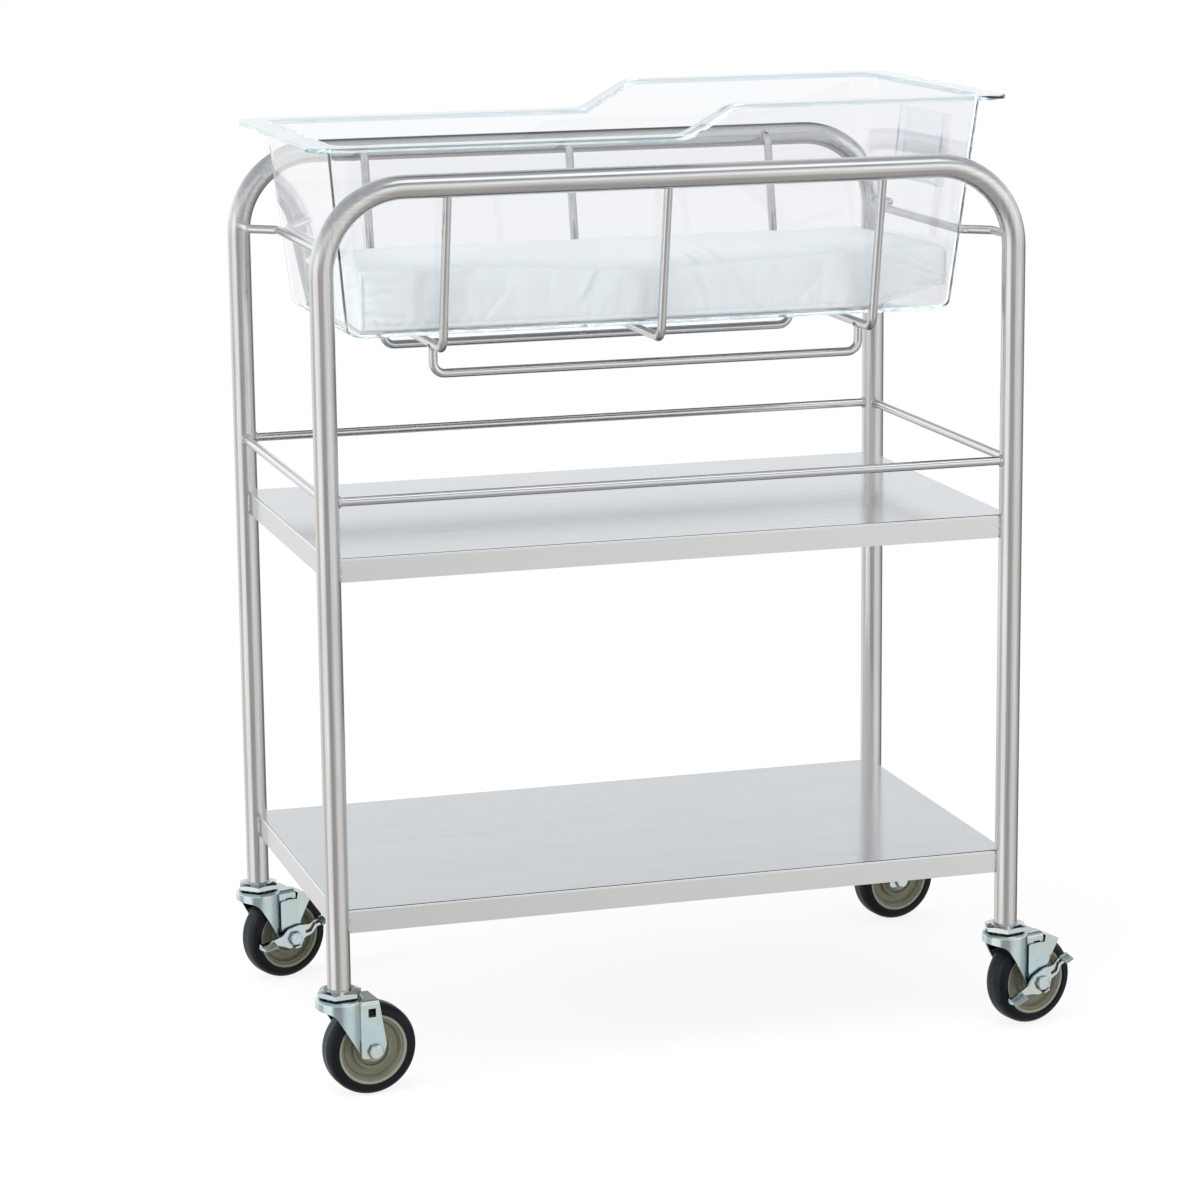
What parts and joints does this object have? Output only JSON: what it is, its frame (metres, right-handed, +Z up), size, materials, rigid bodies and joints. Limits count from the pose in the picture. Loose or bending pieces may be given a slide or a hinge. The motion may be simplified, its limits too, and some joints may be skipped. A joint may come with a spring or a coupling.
{
  "type": "hospital bassinet",
  "caption": "Hospital bassinet: clear stepped-rim tub with mattress in a rod cradle on a stainless tube stand with flat shelves, guard rods and swivel casters with foot brakes.",
  "frame": {"origin": "on the floor, midway between the four legs", "axes": "+X along the tub to its head end, +Y across to the rear side, +Z up"},
  "size_m": [0.8703, 0.5086, 1.0387],
  "materials": {
    "tube": "satin stainless",
    "rod": "polished stainless",
    "shelf": "brushed stainless sheet",
    "tub": "clear acrylic",
    "mattress": "pale vinyl ticking",
    "plated_steel": "bright zinc plate",
    "race": "dark pressed steel",
    "sleeve": "plain steel",
    "expander": "black rubber",
    "hub": "grey-green moulding",
    "tyre": "dark grey tread"
  },
  "bodies": {
    "stand": {"side_frame_front": "tube", "side_frame_rear": "tube", "shelf_upper": "shelf", "shelf_lower": "shelf", "guard_rod_front": "rod", "guard_rod_rear": "rod", "guard_rod_foot": "rod", "guard_rod_head": "rod", "hoop_foot": "rod", "hoop_middle": "rod", "hoop_head": "rod", "support_bar_front": "rod", "support_bar_rear": "rod", "end_rod_foot": "rod", "end_rod_head": "rod", "caster_stem_fl": "plated_steel", "stem_expander_fl": "expander", "race_ring_fl": "race", "caster_stem_fr": "plated_steel", "stem_expander_fr": "expander", "race_ring_fr": "race", "caster_stem_rl": "plated_steel", "stem_expander_rl": "expander", "race_ring_rl": "race", "caster_stem_rr": "plated_steel", "stem_expander_rr": "expander", "race_ring_rr": "race"},
    "basket": {"tub": "tub", "card_pocket": "tub"},
    "bedding": {"mattress": "mattress"},
    "swivel_fl": {"caster_fork_fl": "plated_steel", "axle_bolt_fl": "plated_steel", "axle_nut_fl": "plated_steel", "bearing_sleeve_fl": "sleeve"},
    "wheel_fl": {"wheel_hub_fl": "hub", "tyre_fl": "tyre"},
    "swivel_fr": {"caster_fork_fr": "plated_steel", "axle_bolt_fr": "plated_steel", "axle_nut_fr": "plated_steel", "bearing_sleeve_fr": "sleeve", "brake_plate_fr": "plated_steel"},
    "wheel_fr": {"wheel_hub_fr": "hub", "tyre_fr": "tyre"},
    "lever_fr": {"brake_lever_fr": "plated_steel"},
    "swivel_rl": {"caster_fork_rl": "plated_steel", "axle_bolt_rl": "plated_steel", "axle_nut_rl": "plated_steel", "bearing_sleeve_rl": "sleeve", "brake_plate_rl": "plated_steel"},
    "wheel_rl": {"wheel_hub_rl": "hub", "tyre_rl": "tyre"},
    "lever_rl": {"brake_lever_rl": "plated_steel"},
    "swivel_rr": {"caster_fork_rr": "plated_steel", "axle_bolt_rr": "plated_steel", "axle_nut_rr": "plated_steel", "bearing_sleeve_rr": "sleeve"},
    "wheel_rr": {"wheel_hub_rr": "hub", "tyre_rr": "tyre"}
  },
  "joints": [
    {"name": "tub_lift", "type": "slide", "parent": "stand", "child": "basket", "axis": [0, 0, 1], "range_m": [0, 0.26]},
    {"name": "mattress_lift", "type": "slide", "parent": "basket", "child": "bedding", "axis": [0, 0, 1], "range_m": [0, 0.3]},
    {"name": "swivel_fl_turn", "type": "hinge", "parent": "stand", "child": "swivel_fl", "pos_m": [-0.381, -0.21465, 0.109], "axis": [0, 0, 1], "continuous": true},
    {"name": "wheel_fl_roll", "type": "hinge", "parent": "swivel_fl", "child": "wheel_fl", "pos_m": [-0.34926, -0.21058, 0.0508], "axis": [-0.1271, 0.9919, 0], "continuous": true},
    {"name": "swivel_fr_turn", "type": "hinge", "parent": "stand", "child": "swivel_fr", "pos_m": [0.381, -0.21465, 0.109], "axis": [0, 0, 1], "continuous": true},
    {"name": "wheel_fr_roll", "type": "hinge", "parent": "swivel_fr", "child": "wheel_fr", "pos_m": [0.41197, -0.20658, 0.0508], "axis": [-0.2521, 0.9677, 0], "continuous": true},
    {"name": "lever_fr_rock", "type": "hinge", "parent": "swivel_fr", "child": "lever_fr", "pos_m": [0.41197, -0.20658, 0.0508], "axis": [-0.2521, 0.9677, 0], "range_deg": [0, 15]},
    {"name": "swivel_rl_turn", "type": "hinge", "parent": "stand", "child": "swivel_rl", "pos_m": [-0.381, 0.21465, 0.109], "axis": [0, 0, 1], "continuous": true},
    {"name": "wheel_rl_roll", "type": "hinge", "parent": "swivel_rl", "child": "wheel_rl", "pos_m": [-0.35074, 0.22507, 0.0508], "axis": [-0.3256, 0.9455, 0], "continuous": true},
    {"name": "lever_rl_rock", "type": "hinge", "parent": "swivel_rl", "child": "lever_rl", "pos_m": [-0.35074, 0.22507, 0.0508], "axis": [-0.3256, 0.9455, 0], "range_deg": [-15, 0]},
    {"name": "swivel_rr_turn", "type": "hinge", "parent": "stand", "child": "swivel_rr", "pos_m": [0.381, 0.21465, 0.109], "axis": [0, 0, 1], "continuous": true},
    {"name": "wheel_rr_roll", "type": "hinge", "parent": "swivel_rr", "child": "wheel_rr", "pos_m": [0.41256, 0.21993, 0.0508], "axis": [-0.165, 0.9863, 0], "continuous": true}
  ]
}
